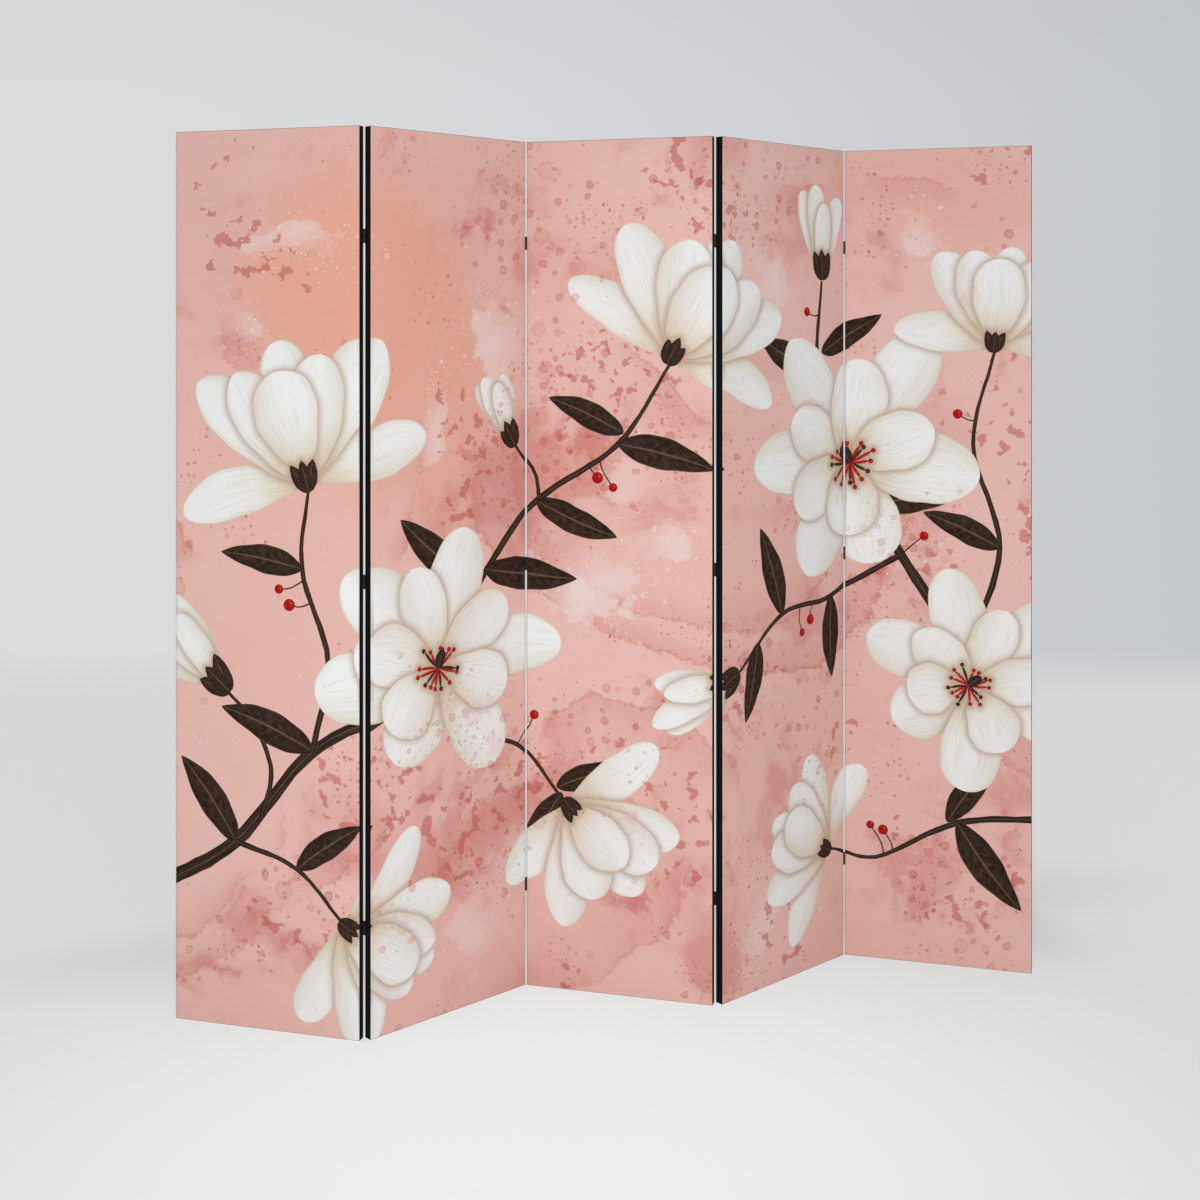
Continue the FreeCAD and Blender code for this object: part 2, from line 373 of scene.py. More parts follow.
design = dict(
    boughs=[    # across, up and half the thickness
        [(-0.03, 0.24, 0.013), (0.12, 0.33, 0.012), (0.27, 0.50, 0.010), (0.45, 0.60, 0.009),
         (0.60, 0.77, 0.0075), (0.74, 0.92, 0.006), (0.90, 1.03, 0.005), (1.00, 1.18, 0.003)],
        [(0.27, 0.50, 0.006), (0.30, 0.66, 0.0055), (0.25, 0.82, 0.0045), (0.263, 0.965, 0.003)],
        [(0.17, 0.375, 0.005), (0.19, 0.46, 0.0045), (0.155, 0.545, 0.004), (0.105, 0.595, 0.003)],
        [(0.745, 0.925, 0.004), (0.735, 0.975, 0.0035), (0.695, 1.025, 0.003)],
        [(0.45, 0.60, 0.006), (0.57, 0.50, 0.005), (0.70, 0.46, 0.004), (0.79, 0.36, 0.003)],
        [(0.12, 0.33, 0.005), (0.24, 0.29, 0.004), (0.33, 0.20, 0.003)],
        [(1.84, 0.50, 0.013), (1.68, 0.62, 0.012), (1.55, 0.80, 0.010), (1.45, 0.97, 0.008),
         (1.36, 1.16, 0.006), (1.37, 1.34, 0.003)],
        [(1.55, 0.80, 0.006), (1.40, 0.72, 0.0055), (1.25, 0.70, 0.0045), (1.12, 0.60, 0.003)],
        [(1.68, 0.62, 0.006), (1.74, 0.82, 0.0055), (1.69, 1.02, 0.004), (1.73, 1.20, 0.003)],
        [(1.84, 0.30, 0.007), (1.66, 0.28, 0.006), (1.50, 0.20, 0.004), (1.40, 0.22, 0.003)],
    ],
    leaves=[    # across, up, length, heading and bend
        (0.27, 0.50, 0.19, 152, 0.12), (0.25, 0.82, 0.16, 165, 0.1), (0.60, 0.77, 0.22, 148, -0.1),
        (0.62, 0.80, 0.20, -14, 0.12), (0.74, 0.92, 0.17, -28, 0.1), (0.90, 1.03, 0.19, -8, -0.1),
        (0.91, 1.05, 0.16, 150, 0.1), (0.79, 0.37, 0.16, -125, 0.1), (0.78, 0.38, 0.15, 25, -0.1),
        (1.50, 0.90, 0.20, 8, 0.12), (1.36, 1.16, 0.19, 165, -0.12), (1.37, 1.20, 0.16, 22, 0.1),
        (1.25, 0.70, 0.18, 105, 0.1), (1.66, 0.28, 0.20, -60, 0.12), (1.64, 0.28, 0.16, 60, -0.12),
        (1.74, 0.82, 0.16, 150, 0.1), (0.12, 0.33, 0.18, 120, 0.12), (1.18, 0.655, 0.15, -98, -0.1),
        (0.24, 0.29, 0.15, 40, -0.1), (1.40, 0.72, 0.16, -95, 0.1),
    ],
    blossoms=[    # across, up, petal length, heading, view and seed
        (0.26, 0.97, 0.275, 104, "side", 3), (0.10, 0.60, 0.20, 138, "bud", 5),
        (0.51, 0.63, 0.270, 72, "open", 7), (0.80, 0.35, 0.225, -48, "side", 11),
        (1.00, 1.19, 0.255, 62, "side", 13), (1.12, 0.60, 0.17, 204, "bud", 17),
        (1.45, 0.98, 0.290, 118, "open", 19), (1.37, 1.35, 0.18, 92, "bud", 23),
        (1.68, 0.55, 0.240, 35, "open", 29), (1.73, 1.21, 0.22, 82, "side", 31),
        (0.33, 0.20, 0.215, -34, "side", 37), (1.39, 0.22, 0.205, 152, "side", 41),
        (0.69, 1.03, 0.15, 118, "bud", 43),
    ],
    berries=[    # across, up and size
        (0.225, 0.745, 0.022), (0.205, 0.775, 0.017), (0.86, 0.955, 0.022), (0.89, 0.94, 0.017),
        (0.735, 0.505, 0.018), (1.335, 0.67, 0.021), (1.31, 0.65, 0.016), (1.595, 0.83, 0.018),
        (1.515, 0.245, 0.020), (1.49, 0.255, 0.016), (1.66, 1.07, 0.019), (1.325, 1.27, 0.018),
    ],
)
stalks = dict(rootHalf=0.0016, half=0.0013, bow=0.12, knobs=0.05)


def drawMotifs():
    made = [Bough(knots, seed=number) for number, knots in enumerate(design["boughs"])]
    lines = np.vstack([bough.line for bough in made])
    for number, (x, z, length, heading, bend) in enumerate(design["leaves"]):
        made.append(leaf((x, z), length, heading, bend, number))
    for x, z, size in design["berries"]:    # each on a stalk from the nearest bough
        top = np.array((x, z + size / 2))
        root = lines[((lines - top) ** 2).sum(1).argmin()]
        middle = (root + top) / 2 + stalks["bow"] * (top - root)[::-1]
        knots = [(*root, stalks["rootHalf"]), (*middle, stalks["half"]), (*top, stalks["half"])]
        made.append(Bough(knots, knobs=stalks["knobs"]))
    for x, z, size, heading, view, seed in design["blossoms"]:
        made += blossom((x, z), size, heading, view, seed)
    made += [berry((x, z), size, number) for number, (x, z, size) in enumerate(design["berries"])]
    for motif in made:
        motif.low, motif.high = motif.outline.min(0), motif.outline.max(0)
    return made


motifs = drawMotifs()
print("motifs drawn", len(motifs))


# The canvases, each a sheet with its edges turned round the frame's sides

canvas = dict(
    thickness=0.0004, inset=0.0004, cornerRadius=0.0008, turnedDepth=0.0075, roundSteps=3,
    samePlace=0.000001,    # points closer than this are one
)
tones = dict(ground=0, petal=1, ink=2, red=3)


def isInside(points, outline):
    found = np.zeros(len(points), bool)
    for (ax, az), (bx, bz) in zip(outline, np.roll(outline, -1, 0)):
        if az != bz:
            crosses = (az > points[:, 1]) != (bz > points[:, 1])
            found ^= crosses & (points[:, 0] < (bx - ax) * (points[:, 1] - az) / (bz - az) + ax)
    return found


def gapTo(points, outline):    # each point's distance from a closed outline
    run = np.roll(outline, -1, 0) - outline
    rel = points[:, None] - outline
    u = np.clip((rel * run).sum(2) / np.maximum((run ** 2).sum(1), tiny), 0, 1)
    return np.sqrt(((rel - u[:, :, None] * run) ** 2).sum(2).min(1))


def fillPoints(near, low, high):    # a staggered grid, where it lies inside a motif
    gap = drawing["spacing"]
    across, up = np.meshgrid(*(np.arange(a + gap, b - gap, gap) for a, b in zip(low, high)))
    across[1::2] += gap / 2
    grid = np.stack((across.ravel(), up.ravel()), 1)
    kept = np.zeros(len(grid), bool)
    for motif in near:
        close = ((grid > motif.low) & (grid < motif.high)).all(1) & ~kept
        kept[close] = isInside(grid[close], motif.outline)
    return grid[kept & (grid[:, 0] < high[0] - gap / 3)]


def shadeUnder(places, motifsAbove):    # 1 beside a motif that lies above, fading to 0
    reach = drawing["shadeReach"]
    shade = np.zeros(len(places))
    for motif in motifsAbove:
        close = ((places > motif.low - reach) & (places < motif.high + reach)).all(1)
        if close.any():
            away = gapTo(places[close], motif.outline)
            shade[close] = np.maximum(shade[close], np.clip(1 - away / reach, 0, 1))
    return shade


def printTile(number):    # one panel's part of the print, as triangles
    rim = canvas["inset"] + canvas["cornerRadius"]
    low = np.array(((number - 1) * panel["width"] + rim, rim))
    high = np.array((number * panel["width"] - rim, panel["height"] - rim))
    near = [m for m in motifs if (m.low < high).all() and (m.high > low).all()]
    points = [(low[0], low[1]), (high[0], low[1]), (high[0], high[1]), (low[0], high[1])]
    faces = [[0, 1, 2, 3]]
    for motif in near:
        faces.append(list(range(len(points), len(points) + len(motif.outline))))
        points += [tuple(p) for p in motif.outline]
    points += [tuple(p) for p in fillPoints(near, low, high)]
    made = delaunay_2d_cdt([Vector(p) for p in points], [], faces, 1, canvas["samePlace"], True)
    places = np.array([tuple(v) for v in made[0]])
    # each triangle with the last outline that it lies in, where outline 0 is the panel
    inside = [(f, max(own)) for f, own in zip(made[2], made[5]) if 0 in own]
    tops = np.array([top for _, top in inside])
    held, shapes = np.unique(np.array([f for f, _ in inside]), return_inverse=True)
    places, shapes = places[held], shapes.reshape(-1, 3)    # without the points outside the panel
    corners = np.zeros((len(inside), 3, 4))    # s, t, shade and tint
    for order, motif in enumerate(near, 1):
        mine = np.nonzero(tops == order)[0]
        if len(mine):
            used, back = np.unique(shapes[mine], return_inverse=True)
            own = places[used]
            shade = shadeUnder(own, near[order:] if motif.tone == "petal" else [])
            values = np.stack((*motif.shares(own), shade, np.full(len(used), motif.tint)), 1)
            corners[mine] = values[back].reshape(len(mine), 3, 4)
    tone = [tones["ground"] if top == 0 else tones[near[top - 1].tone] for top in tops]
    return dict(places=places, faces=shapes, tones=tone, corners=corners, low=low, high=high)


tiles = {number: printTile(number) for number in panelNumbers}
print("print tiles made, triangles", sum(len(tile["faces"]) for tile in tiles.values()))


def canvasRings():    # outward, back and the run along the cloth of each step over a turned edge
    radius, steps = canvas["cornerRadius"], canvas["roundSteps"]
    rings = [(0, 0, 0)]
    for step in range(1, steps + 1):
        angle = math.pi / 2 * step / steps
        rings.append((radius * math.sin(angle), radius * (1 - math.cos(angle)), radius * angle))
    straight = canvas["turnedDepth"] - radius
    return rings + [(radius, canvas["turnedDepth"], rings[-1][2] + straight)]


def turnEdges(tile):    # the tile with its rim carried round the frame's edge, as mesh values
    places, low, high = tile["places"], tile["low"], tile["high"]
    start = low[0] - canvas["inset"] - canvas["cornerRadius"]
    near = canvas["samePlace"]
    out = (places > high - near).astype(int) - (places < low + near).astype(int)
    rings = canvasRings()
    rim = np.nonzero(out.any(1))[0]
    index = {(0, v): v for v in range(len(places))}
    points = [(x - start, 0.0, z) for x, z in places]
    flat = {(0, v): places[v] for v in range(len(places))}
    for level, (outward, back, run) in enumerate(rings[1:], 1):
        for v in rim:
            index[level, v] = len(points)
            x, z = places[v] + out[v] * outward
            points.append((x - start, back, z))
            flat[level, v] = places[v] + out[v] * run
    faces, tone, keys, corners = [], [], [], []

    def add(face, toneIndex, values):
        faces.append([index[key] for key in face])
        tone.append(toneIndex)
        keys.extend(face)
        corners.extend(values)

    for shape, toneIndex, values in zip(tile["faces"], tile["tones"], tile["corners"]):
        add([(0, v) for v in shape], toneIndex, values)
        for here in range(3):
            there = (here + 1) % 3
            a, b = shape[here], shape[there]
            if (out[a] * out[b] == 1).any():    # this side of the triangle lies on the rim
                for level in range(len(rings) - 1):
                    ring = [(level, b), (level, a), (level + 1, a), (level + 1, b)]
                    add(ring, toneIndex, [values[there], values[here], values[here], values[there]])
    maps = dict(
        print=[flat[key] for key in keys],
        petal=[value[:2] for value in corners],
        shade=[value[2:] for value in corners],
    )
    return points, faces, tone, maps


def canvasSheet(number, side):
    tile = tiles[number if side == "Front" else panel["count"] + 1 - number]
    points, faces, tone, maps = turnEdges(tile)
    if side == "Back":
        points = [(panel["width"] - x, panel["depth"] - y, z) for x, y, z in points]
    place = panelPlace(number)
    mesh = bpy.data.meshes.new(f"panel{number}{side}Canvas")
    mesh.from_pydata([place @ Vector(p) for p in points], [], faces)
    for name, pairs in maps.items():
        mesh.uv_layers.new(name=name).data.foreach_set("uv", np.array(pairs, np.float32).ravel())
    for finish in canvasFinishes:
        mesh.materials.append(finish)
    mesh.polygons.foreach_set("material_index", tone)
    piece = bpy.data.objects.new(mesh.name, mesh)
    bpy.context.scene.collection.objects.link(piece)
    selectOnly(piece)
    solid = piece.modifiers.new("Thickness", "SOLIDIFY")
    solid.thickness, solid.offset = canvas["thickness"], -1
    solid.material_offset = solid.material_offset_rim = len(canvasFinishes)
    bpy.ops.object.modifier_apply(modifier=solid.name)
    bpy.ops.object.shade_smooth_by_angle(angle=smoothAngle)
    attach(piece, f"panel_{number}")
    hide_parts(f"panel_{number}_canvas_{side.lower()}")


# The print's finishes

inks = dict(
    pink=srgb(229, 184, 175), palePink=srgb(231, 189, 181), salmon=srgb(229, 168, 148),
    rose=srgb(214, 150, 140), coral=srgb(205, 126, 115), deepCoral=srgb(189, 88, 80),
    bloom=srgb(235, 219, 216),
)
warps = dict(    # scale, reach, detail and roughness
    bent=(2.1, 0.10, 3, 0.5), ragged=(17, 0.022, 5, 0.65), jagged=(80, 0.014, 4, 0.7),
    speckled=(60, 0.0035, 2, 0.5), splashed=(90, 0.006, 3, 0.6), stained=(9, 0.03, 4, 0.6),
)
clouding = dict(    # scale, detail and roughness
    calm=(1.3, 3, 0.5), mottle=(4.8, 6, 0.62), swirl=(9, 6, 0.66), edges=(3.4, 1, 0.5),
    flow=(0.9, 1, 0.4), tides=(2.4, 2, 0.5), crowd=(3.1, 2, 0.5), sparse=(6.5, 1, 0.5),
    splashes=(36, 2, 0.5), gathering=(4.1, 1, 0.5), stains=(3.0, 4, 0.6), thinning=(5.0, 3, 0.5),
)
washes = [    # soft patches: middle, reach, colour and strength
    ((0.33, 1.30), (0.28, 0.34), "salmon", 0.95), ((0.54, 1.04), (0.13, 0.26), "salmon", 0.7),
    ((1.62, 1.48), (0.24, 0.12), "salmon", 0.4),
]
clouds = [    # where the rose clouds gather: middle, reach and strength
    ((0.80, 0.98), (0.36, 0.22), 1.0), ((0.56, 0.34), (0.28, 0.26), 0.9), ((1.04, 0.22), (0.28, 0.20), 0.9),
    ((1.27, 0.48), (0.22, 0.28), 0.7), ((0.64, 1.42), (0.24, 0.16), 0.75), ((0.10, 0.14), (0.26, 0.18), 0.85),
    ((1.24, 1.46), (0.24, 0.14), 0.6), ((1.68, 0.20), (0.22, 0.18), 0.75), ((1.62, 0.90), (0.16, 0.16), 0.5),
]
blooms = [    # pale patches with a ragged edge: middle, reach, the way that they fade and strength
    ((0.63, 1.22), (0.080, 0.085), (1, 0.4), 0.85), ((0.50, 1.06), (0.055, 0.085), (-1, 0.5), 0.75),
    ((0.21, 1.42), (0.085, 0.055), (0.3, -1), 0.75), ((0.86, 0.76), (0.11, 0.09), (-0.6, 1), 0.9),
    ((0.99, 0.85), (0.075, 0.06), (-1, 0.2), 0.75), ((0.93, 0.98), (0.05, 0.05), (1, 1), 0.55),
    ((1.21, 1.33), (0.085, 0.075), (-1, -0.2), 0.6), ((1.57, 1.42), (0.065, 0.06), (0.5, 1), 0.8),
    ((0.60, 0.15), (0.10, 0.07), (1, 0.5), 0.55), ((1.19, 0.15), (0.10, 0.07), (-0.4, 1), 0.6),
    ((1.60, 0.79), (0.06, 0.055), (1, 0), 0.65), ((0.12, 1.24), (0.045, 0.06), (-1, 0), 0.5),
]
tides = [    # dried edges: how high on the flow, how far the wash beside them reaches, and strength
    (0.425, -0.07, 0.75), (0.535, 0.06, 0.9), (0.60, 0.05, 0.7),
]
spots = dict(    # cells a metre, smallest and largest radius in cells, share that shows, strength and rim
    large=(13, 0.09, 0.32, 0.34, 0.42, 0.55), middle=(33, 0.08, 0.34, 0.46, 0.62, 0.35),
    fine=(78, 0.09, 0.32, 0.34, 0.65, 0.0), paleLarge=(38, 0.06, 0.24, 0.42, 0.75, 0.2),
    paleFine=(120, 0.08, 0.28, 0.55, 0.85, 0.0),
)
splashes = dict(level=0.69, softness=0.02, strength=0.6)    # ragged clumps among the spots


def spotLayer(f, place, crowd, name):
    cells, smallest, largest, share, strength, rim = spots[name]
    settings = dict(voronoi_dimensions="2D", feature="F1")
    near = f.node("ShaderNodeTexVoronoi", settings, {"Vector": place, "Scale": cells}, "Distance")
    chance = f.node("ShaderNodeSeparateColor", None, {0: f.also(near, "Color")}, "Red")
    radius = smallest + (largest - smallest) * chance ** 2.0
    shown = f.step(f.also(chance, "Green") - crowd * share * 2.0, 0.02, -0.02)
    depth = 1.0 - near / radius
    body = f.step(depth, 0.0, 0.16)
    dried = 1 - rim + rim * f.step(depth, 0.6, 0.05)    # strongest at the spot's rim
    return body * shown * dried * strength * f.also(chance, "Blue") ** 0.4


def crowdOf(f, bent, wet):    # where the spots gather
    return f.step(f.noise(bent, *clouding["crowd"]) + wet * 0.07, 0.50, 0.66)


def wetness(f, bent):
    wet = 0.0
    for middle, reach, strength in clouds:
        wet = f.math("MAXIMUM", wet, f.step(f.away(bent, middle, reach), 1.3, 0.2, 0.0, strength))
    return wet


def layWashes(f, colour, bent, mottle):
    for middle, reach, ink, strength in washes:
        away = f.away(bent, middle, reach)
        colour = f.mix(f.step(away + (mottle - 0.5) * 1.2, 1.2, 0.4) * strength, colour, inks[ink])
    return colour


def layBlotches(f, colour, bent, mottle, swirl, wet, pits):
    edged = f.step(f.noise(bent, *clouding["edges"]), 0.46, 0.60)
    density = mottle + wet * 0.20 + pits * 0.10
    colour = f.mix(f.step(density, 0.52, 0.80) * 0.85, colour, inks["rose"])
    colour = f.mix(f.step(density, 0.632, 0.648) * edged * 0.35, colour, inks["rose"])
    deeper = swirl + wet * 0.16 + pits * 0.08
    colour = f.mix(f.step(deeper, 0.66, 0.86) * 0.75, colour, inks["coral"])
    return f.mix(f.step(deeper, 0.735, 0.75) * (1 - edged) * 0.4, colour, inks["coral"])


def layTides(f, colour, bent, jagged):
    flow = f.noise(jagged, *clouding["flow"])
    seen = f.step(f.noise(bent, *clouding["tides"]), 0.40, 0.54)
    for level, reach, strength in tides:
        past = flow - level
        line = f.step(abs(past), 0.0028, 0.0006)
        beside = f.step(past, 0.0, reach / 40) * f.step(past, reach, 0.0)
        colour = f.mix((line * 0.62 + beside * 0.40) * seen * strength, colour, inks["coral"])
    return colour


def layBlooms(f, colour, jagged, mottle, swirl, pits):    # and how near each place is to a bloom
    near = 0.0
    for middle, reach, lean, strength in blooms:
        away = f.away(jagged, middle, reach) + (mottle - 0.5) * 1.5 - pits * 0.5
        turned = f.vector("DOT_PRODUCT", f.offset(jagged, middle, reach), (*lean, 0), result="Value")
        amount = f.step(away, 1.0, 0.93) * f.step(turned, 1.1, -0.7) * (0.6 + 0.4 * f.step(away, 0.9, 0.2))
        colour = f.mix(amount * strength * f.step(swirl, 0.25, 0.5, 0.7, 1.0), colour, inks["bloom"])
        near = f.math("MAXIMUM", near, f.step(away, 2.3, 0.8, 0.0, strength))
    return colour, near


def laySplashes(f, colour, place, bent, wet):
    clumps = f.noise(f.warp(place, *warps["splashed"]), *clouding["splashes"])
    gathered = f.step(f.noise(bent, *clouding["gathering"]) + wet * 0.08, 0.625, 0.74)
    level = splashes["level"]
    torn = f.step(clumps + gathered * 0.10, level, level + splashes["softness"]) * f.step(gathered, 0.02, 0.2)
    return f.mix(torn * splashes["strength"], colour, inks["deepCoral"])


def laySpots(f, colour, place, layers):    # each layer's name, where it gathers, its ink and strength
    speckled = f.warp(place, *warps["speckled"])
    for name, crowd, ink, strength in layers:
        colour = f.mix(spotLayer(f, speckled, crowd, name) * strength, colour, inks[ink])
    return colour


def printGround(f, place):
    bent = f.warp(place, *warps["bent"])
    ragged = f.warp(bent, *warps["ragged"])
    jagged = f.warp(ragged, *warps["jagged"])
    mottle = f.noise(ragged, *clouding["mottle"])
    swirl = f.noise(ragged, *clouding["swirl"])
    pits = 0.35 - f.node("ShaderNodeTexVoronoi", dict(voronoi_dimensions="2D"), {
        "Vector": jagged, "Scale": 15, "Detail": 2, "Roughness": 0.5,
    }, "Distance")
    wet = wetness(f, bent)
    colour = f.mix(f.step(f.noise(bent, *clouding["calm"]), 0.35, 0.65), inks["pink"], inks["palePink"])
    colour = layWashes(f, colour, bent, mottle)
    colour = layBlotches(f, colour, bent, mottle, swirl, wet, pits)
    colour = layTides(f, colour, bent, jagged)
    colour, near = layBlooms(f, colour, jagged, mottle, swirl, pits)
    colour = laySplashes(f, colour, place, bent, wet)
    crowd = crowdOf(f, bent, wet)
    sparse = f.step(f.noise(ragged, *clouding["sparse"]) + wet * 0.06, 0.58, 0.68)
    pale = near * f.step(swirl, 0.42, 0.58)
    return laySpots(f, colour, place, (
        ("large", crowd, "coral", 1), ("middle", crowd, "deepCoral", 1), ("fine", sparse, "deepCoral", 1),
        ("paleLarge", pale, "bloom", 1), ("paleFine", pale, "bloom", 1),
    ))


cloth = dict(fine=1500, coarse=120, roughness=0.86, gloss=0.15, strength=0.5, height=0.00025)


def clothSurface(f, place, colour):
    up = f.noise(f.stretch(place, (cloth["fine"], cloth["coarse"], 1)), 1.0, 1, 0.5)
    across = f.noise(f.stretch(place, (cloth["coarse"], cloth["fine"], 1)), 1.0, 1, 0.5)
    threads = (up + across) * 0.5
    # painted shade: the colour darkens by up to 5 percent where the threads lie low in the weave
    shown = f.mix(f.step(threads, 0.3, 0.7, 0.05, 0.0), colour, (0, 0, 0, 1))
    return f.surface({
        "Base Color": shown, "Roughness": cloth["roughness"] - 0.1 * threads,
        "Specular IOR Level": cloth["gloss"], "Normal": f.bump(cloth["strength"], cloth["height"], threads),
    })


def groundFinish():
    f = Finish("printedGround")
    place = f.uvPlace("print")
    return clothSurface(f, place, printGround(f, place))


petalTones = dict(
    base=srgb(227, 221, 204), tip=srgb(239, 241, 241), blush=srgb(211, 178, 149), vein=srgb(201, 187, 160),
    hair=srgb(205, 196, 176), gleam=srgb(244, 247, 248), edge=srgb(212, 196, 168), side=srgb(206, 193, 166),
    rim=srgb(184, 160, 134), shade=srgb(172, 142, 116),
)


def petalFinish():
    f = Finish("printedPetal")
    place, share = f.uvPlace("print"), f.uvPlace("petal")
    s, t = f.axes(share, "XY")
    shade, tint = f.axes(f.uvPlace("shade"), "XY")
    own = f.vector("ADD", share, f.node("ShaderNodeCombineXYZ", None, {0: tint * 37.0, 1: tint * 91.0}))
    veins = f.noise(f.stretch(own, (1.6, 12.0, 1)), 1.4, 4, 0.6)
    hairs = f.noise(f.stretch(own, (4.0, 85.0, 1)), 1.0, 2, 0.5)
    edge = abs(t)
    lean = f.step(tint, 0.45, 0.55, -1, 1)    # which side is the darker one
    colour = f.mix(f.step(s, 0.1, 0.7), petalTones["base"], petalTones["tip"])
    for amount, tone in (
        (f.step(s + (veins - 0.5) * 0.6, 0.42, 0.02) * 0.75, "blush"),
        (f.step(veins, 0.52, 0.66) * (0.44 - 0.26 * s), "vein"),
        (f.step(hairs, 0.50, 0.72) * 0.3, "hair"),
        (f.step(hairs, 0.45, 0.28) * 0.6, "gleam"),
        (f.step(edge, 0.70, 1.0) * 0.32, "edge"),
        (f.step(t * lean, -0.1, 1.0) * 0.32, "side"),
        (f.step(edge, 0.95, 0.99) * 0.4, "rim"),
        (shade ** 1.4 * 0.66, "shade"),
    ):
        colour = f.mix(amount, colour, petalTones[tone])
    bent = f.warp(place, *warps["bent"])
    wet = wetness(f, bent)
    stain = f.step(f.noise(f.warp(place, *warps["stained"]), *clouding["stains"]), 0.62, 0.74)
    colour = f.mix(stain * 0.4 * wet, colour, inks["rose"])
    crowd = crowdOf(f, bent, wet) * f.step(wet + f.noise(place, *clouding["thinning"]), 0.62, 1.0)
    colour = laySpots(f, colour, place, (
        ("large", crowd, "coral", 0.8), ("middle", crowd, "coral", 0.9), ("fine", crowd, "deepCoral", 0.7),
    ))
    return clothSurface(f, place, colour)


inkTones = dict(
    dark=srgb(38, 25, 15), light=srgb(62, 45, 34), vein=srgb(112, 87, 70), rib=srgb(128, 102, 83),
    side=srgb(34, 22, 15), rim=srgb(118, 90, 76),
)


def inkFinish():
    f = Finish("printedInk")
    place, share = f.uvPlace("print"), f.uvPlace("petal")
    s, t = f.axes(share, "XY")
    edge = abs(t)
    grain = f.noise(f.stretch(share, (11.0, 2.5, 1)), 1.0, 4, 0.6)
    slant = f.math("PINGPONG", s * 9.0 - edge * 1.3, 0.5)
    colour = f.mix(f.step(grain, 0.35, 0.68), inkTones["dark"], inkTones["light"])
    for amount, tone in (
        (f.step(slant, 0.07, 0.0) * f.step(edge, 1.0, 0.4) * 0.35, "vein"),
        (f.step(edge, 0.10, 0.02) * 0.5, "rib"),
        (f.step(t, 0.2, 0.9) * 0.5, "side"),
        (f.step(edge, 0.90, 0.98) * 0.4, "rim"),
    ):
        colour = f.mix(amount, colour, inkTones[tone])
    return clothSurface(f, place, colour)


redTones = dict(dark=srgb(154, 8, 8), light=srgb(174, 18, 16), glow=srgb(214, 92, 80))


def redFinish():
    f = Finish("printedRed")
    place = f.uvPlace("print")
    s, t = f.axes(f.uvPlace("petal"), "XY")
    glow = f.step(abs(t + 0.35) + abs(s - 0.65), 0.45, 0.1)
    colour = f.mix(f.step(f.noise(place, 300, 3, 0.6), 0.35, 0.65), redTones["dark"], redTones["light"])
    colour = f.mix(glow * 0.45, colour, redTones["glow"])
    return clothSurface(f, place, colour)


rawTones = dict(dark=srgb(216, 208, 194), light=srgb(228, 221, 208))


def rawCanvasFinish():
    f = Finish("rawCanvas")
    place = f.uvPlace("print")
    return clothSurface(f, place, f.mix(f.noise(place, 40, 3, 0.6), rawTones["dark"], rawTones["light"]))


canvasFinishes = [groundFinish(), petalFinish(), inkFinish(), redFinish(), rawCanvasFinish()]
for number in panelNumbers:
    for side in ("Front", "Back"):
        canvasSheet(number, side)
print("canvases stretched")


# The tape round each panel's edge

tape = dict(
    thickness=0.0004, setBack=0.0005, cornerRadius=0.00045, cornerSteps=3,
    softness=0.00012, softSteps=2, softAngle=math.radians(60),
    black=srgb(9, 9, 11), faded=srgb(16, 16, 18), thread=srgb(22, 22, 25),
)


def blackTapeFinish():
    f = Finish("blackTape")
    place = f.uvPlace("tape")
    ribs = f.node("ShaderNodeTexWave", dict(wave_type="BANDS", bands_direction="X"), {
        "Vector": f.warp(place, 300, 0.00006), "Scale": 420.0,
    }, "Fac")
    threads = f.noise(f.stretch(place, (160, 2600, 1)), 1.0, 2, 0.5)
    fuzz = f.noise(place, 420, 4, 0.7)
    colour = f.mix(f.step(fuzz, 0.35, 0.75), tape["black"], tape["faded"])
    colour = f.mix(threads * 0.4, colour, tape["thread"])
    return f.surface({
        "Base Color": colour, "Roughness": 0.76 + 0.2 * fuzz, "Specular IOR Level": 0.15,
        "Normal": f.bump(0.6, 0.00012, ribs * 0.6 + threads),
    })


def tapeMap(piece):    # along the tape and across it
    layer = piece.data.uv_layers.new(name="tape")
    for face in piece.data.polygons:
        upright = abs(face.normal.x) > abs(face.normal.z)
        for loop in face.loop_indices:
            x, y, z = piece.data.vertices[piece.data.loops[loop].vertex_index].co
            layer.data[loop].uv = (z if upright else x, y)


def selectWhere(piece, kind, isChosen):    # in edit mode, its faces or its edges
    bpy.ops.mesh.select_mode(type=kind)
    bpy.ops.mesh.select_all(action="DESELECT")
    shape = bmesh.from_edit_mesh(piece.data)
    for part in shape.faces if kind == "FACE" else shape.edges:
        part.select_set(isChosen(part))
    bmesh.update_edit_mesh(piece.data)


